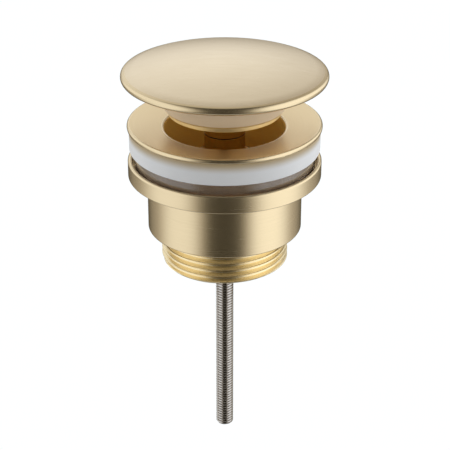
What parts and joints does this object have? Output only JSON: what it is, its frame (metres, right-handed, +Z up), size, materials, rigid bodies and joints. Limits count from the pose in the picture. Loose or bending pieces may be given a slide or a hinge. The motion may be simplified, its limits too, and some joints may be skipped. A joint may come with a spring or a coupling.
{
  "type": "pop up basin waste",
  "caption": "Press-to-open basin waste: mushroom cap over a dished flange, clamping gaskets, a turned lower body with a male tail thread, and a long threaded rod.",
  "frame": {"origin": "on the waste's axis, in the plane of the basin's surface under the upper gasket", "axes": "+Z up along the axis of the rod and the cap; +X and +Y level, with +X midway between two spider ribs"},
  "size_m": [0.0662, 0.0662, 0.1372],
  "materials": {
    "satin_gold": "satin brushed champagne gold plating",
    "post_brass": "turned brass, warm and darker",
    "steel": "plain zinc-plated steel, warm grey",
    "white_rubber": "smooth white rubber",
    "clear_rubber": "clear soft rubber, greyish",
    "seal_rubber": "dark seal rubber",
    "acetal": "off-white acetal"
  },
  "bodies": {
    "waste_body": {"waste_flange": "satin_gold", "flange_gasket": "white_rubber", "cartridge_barrel": "post_brass", "gland_nut": "post_brass", "gland_oring": "seal_rubber", "cam_sleeve": "acetal", "spring_seat": "steel", "return_spring": "steel", "threaded_rod": "steel", "rod_washer": "steel", "rod_locknut": "steel"},
    "cap": {"cap_dome": "satin_gold", "cap_skirt": "satin_gold", "cap_seal": "seal_rubber", "cap_stud": "steel", "neck_collar": "post_brass", "plunger": "post_brass"},
    "rotor": {"index_rotor": "acetal"},
    "clamp_gasket": {"lower_gasket": "clear_rubber"},
    "clamp_body": {"lower_body": "satin_gold"}
  },
  "joints": [
    {"name": "cap_press", "type": "slide", "parent": "waste_body", "child": "cap", "axis": [0, 0, 1], "range_m": [-0.007, 0], "stiffness_N_per_m": 1500, "springref_m": 0.008, "deforming": ["return_spring"]},
    {"name": "rotor_index", "type": "hinge", "parent": "cap", "child": "rotor", "pos_m": [0, 0, -0.0112], "axis": [0, 0, 1], "range_deg": [0, 36]},
    {"name": "clamp_travel", "type": "slide", "parent": "waste_body", "child": "clamp_gasket", "axis": [0, 0, 1], "range_m": [-0.05, 0]},
    {"name": "clamp_turn", "type": "hinge", "parent": "clamp_gasket", "child": "clamp_body", "pos_m": [0, 0, -0.036], "axis": [0, 0, 1], "range_deg": [-18000, 0]}
  ],
  "couplings": [
    {"joint": "rotor_index", "follows": "cap_press", "rad_per_m": -89.759},
    {"joint": "clamp_travel", "follows": "clamp_turn", "m_per_rad": 0.00015915}
  ]
}
